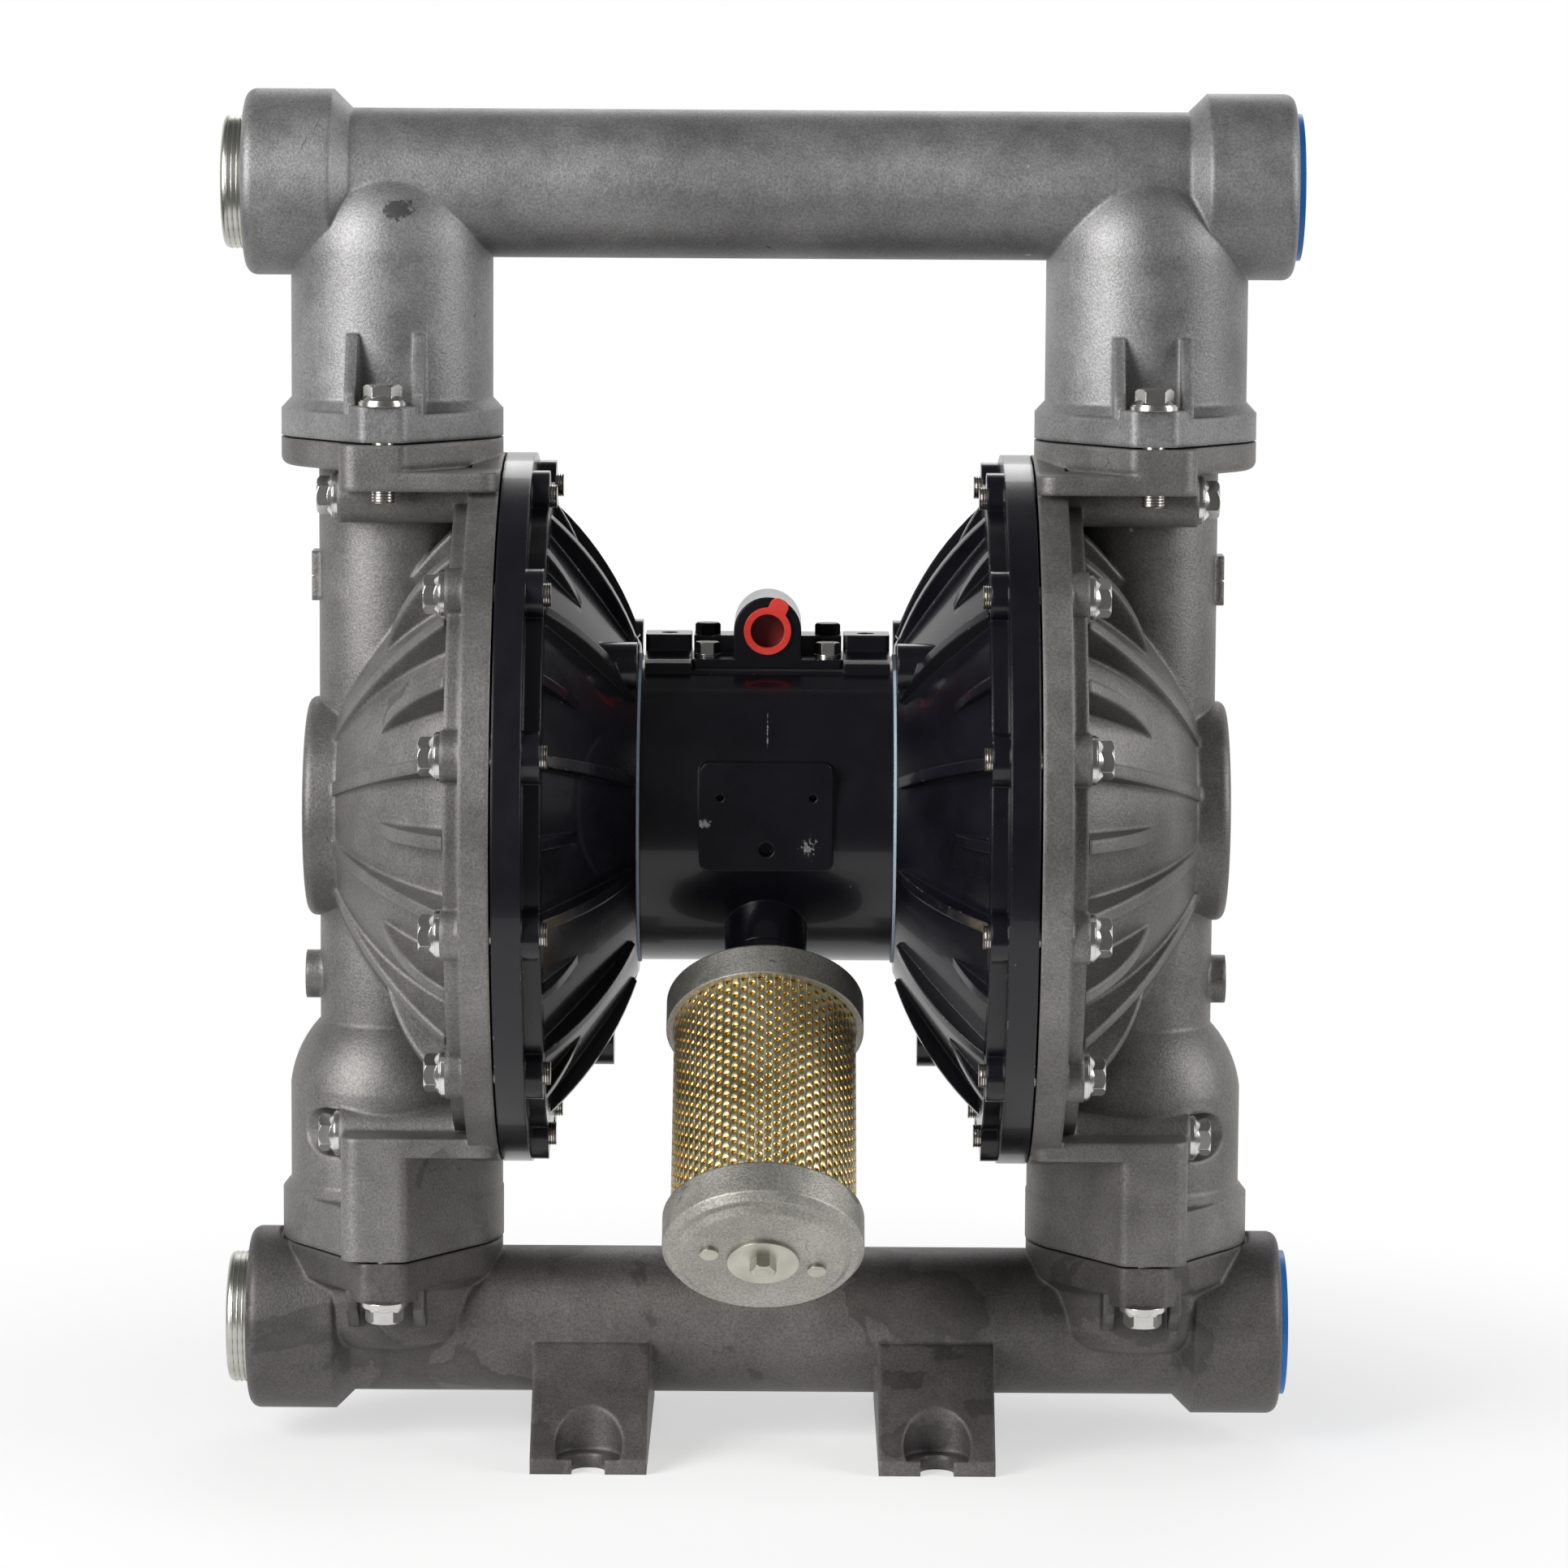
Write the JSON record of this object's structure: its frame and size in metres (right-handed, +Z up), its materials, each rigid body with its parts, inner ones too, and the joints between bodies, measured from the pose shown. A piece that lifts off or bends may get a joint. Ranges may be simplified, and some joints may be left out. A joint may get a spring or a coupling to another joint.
{
  "type": "air operated diaphragm pump",
  "caption": "Air-driven double diaphragm pump with domed ribbed covers, upper and lower pipe manifolds, ball valves, feet, slanted exhaust muffler and plugged ports.",
  "frame": {"origin": "on the floor plane, midway between the four foot slots", "axes": "+X along the manifolds towards the capped ports, +Y from the air inlet to the main air valve, +Z up"},
  "size_m": [0.4847, 0.3637, 0.6168],
  "materials": {
    "cast_grey": "sand cast, blasted and coated dark grey",
    "gloss_black": "glossy black coat on castings",
    "bright_steel": "bright zinc-plated steel",
    "black_steel": "blackened steel",
    "plug_steel": "zinc-plated cast steel",
    "blue_plastic": "bright blue moulded plastic",
    "red_plastic": "red moulded plastic",
    "gasket_blue": "pale blue gasket sheet",
    "black_rubber": "black elastomer",
    "white_plastic": "white fluoropolymer",
    "plate_aluminium": "machined aluminium",
    "bronze": "sintered bronze",
    "brass_sleeve": "perforated and gold passivated",
    "cast_aluminium": "grey die cast",
    "white_felt": "porous felt"
  },
  "bodies": {
    "pump_body": {"outlet_manifold": "cast_grey", "inlet_manifold": "cast_grey", "left_fluid_cover": "cast_grey", "right_fluid_cover": "cast_grey", "left_air_cover": "gloss_black", "right_air_cover": "gloss_black", "centre_housing": "gloss_black", "air_inlet_block": "gloss_black", "valve_body": "gloss_black", "valve_end_caps": "gloss_black", "left_hub_gasket": "gasket_blue", "right_hub_gasket": "gasket_blue", "left_diaphragm": "black_rubber", "right_diaphragm": "black_rubber", "rod_seals": "black_rubber", "inlet_joint_seals": "black_rubber", "outlet_joint_seals": "black_rubber", "inlet_block_gasket": "black_rubber", "valve_gasket": "black_rubber", "outlet_flange_bolts": "bright_steel", "inlet_flange_bolts": "bright_steel", "left_cover_bolts": "bright_steel", "right_cover_bolts": "bright_steel", "left_long_bolts": "bright_steel", "right_long_bolts": "bright_steel", "bolt_washers": "bright_steel", "inlet_block_front_bolts": "bright_steel", "muffler_tie_rod": "bright_steel", "muffler_fasteners": "bright_steel", "hub_screws": "bright_steel", "inlet_block_rear_bolts": "black_steel", "valve_bolts": "black_steel", "rod_bushes": "bronze", "pilot_sleeve": "bronze", "valve_sleeve": "bronze", "inlet_left_seat": "white_plastic", "inlet_right_seat": "white_plastic", "outlet_left_seat": "white_plastic", "outlet_right_seat": "white_plastic", "inlet_pipe_plug": "plug_steel", "outlet_pipe_plug": "plug_steel", "muffler_neck": "cast_aluminium", "muffler_top_cap": "cast_aluminium", "muffler_bottom_cap": "cast_aluminium", "muffler_sleeve": "brass_sleeve", "muffler_element": "white_felt"},
    "rod_assembly": {"diaphragm_rod": "bright_steel", "left_inner_plate": "plate_aluminium", "right_inner_plate": "plate_aluminium", "left_outer_plate": "plate_aluminium", "right_outer_plate": "plate_aluminium"},
    "pilot": {"pilot_spool": "bright_steel"},
    "main_spool": {"valve_spool": "bright_steel"},
    "inlet_left_check_ball": {"inlet_left_ball": "white_plastic"},
    "inlet_right_check_ball": {"inlet_right_ball": "white_plastic"},
    "outlet_left_check_ball": {"outlet_left_ball": "white_plastic"},
    "outlet_right_check_ball": {"outlet_right_ball": "white_plastic"},
    "air_plug": {"air_dust_plug": "red_plastic"},
    "inlet_cap": {"inlet_dust_cap": "blue_plastic"},
    "outlet_cap": {"outlet_dust_cap": "blue_plastic"}
  },
  "joints": [
    {"name": "rod_slide", "type": "slide", "parent": "pump_body", "child": "rod_assembly", "axis": [1, 0, 0], "range_m": [-0.018, 0.018], "deforming": ["left_diaphragm", "right_diaphragm"]},
    {"name": "pilot_slide", "type": "slide", "parent": "pump_body", "child": "pilot", "axis": [1, 0, 0], "range_m": [-0.0036, 0.0036]},
    {"name": "main_spool_slide", "type": "slide", "parent": "pump_body", "child": "main_spool", "axis": [0, 0, 1], "range_m": [0, 0.012]},
    {"name": "inlet_left_ball_lift", "type": "slide", "parent": "pump_body", "child": "inlet_left_check_ball", "axis": [0, 0, 1], "range_m": [0, 0.015]},
    {"name": "inlet_right_ball_lift", "type": "slide", "parent": "pump_body", "child": "inlet_right_check_ball", "axis": [0, 0, 1], "range_m": [0, 0.015]},
    {"name": "outlet_left_ball_lift", "type": "slide", "parent": "pump_body", "child": "outlet_left_check_ball", "axis": [0, 0, 1], "range_m": [0, 0.015]},
    {"name": "outlet_right_ball_lift", "type": "slide", "parent": "pump_body", "child": "outlet_right_check_ball", "axis": [0, 0, 1], "range_m": [0, 0.015]},
    {"name": "air_plug_pull", "type": "slide", "parent": "pump_body", "child": "air_plug", "axis": [0, -1, 0], "range_m": [0, 0.02]},
    {"name": "inlet_cap_pull", "type": "slide", "parent": "pump_body", "child": "inlet_cap", "axis": [1, 0, 0], "range_m": [0, 0.03]},
    {"name": "outlet_cap_pull", "type": "slide", "parent": "pump_body", "child": "outlet_cap", "axis": [1, 0, 0], "range_m": [0, 0.03]}
  ],
  "couplings": [
    {"joint": "pilot_slide", "follows": "rod_slide", "ratio": 0.2}
  ]
}
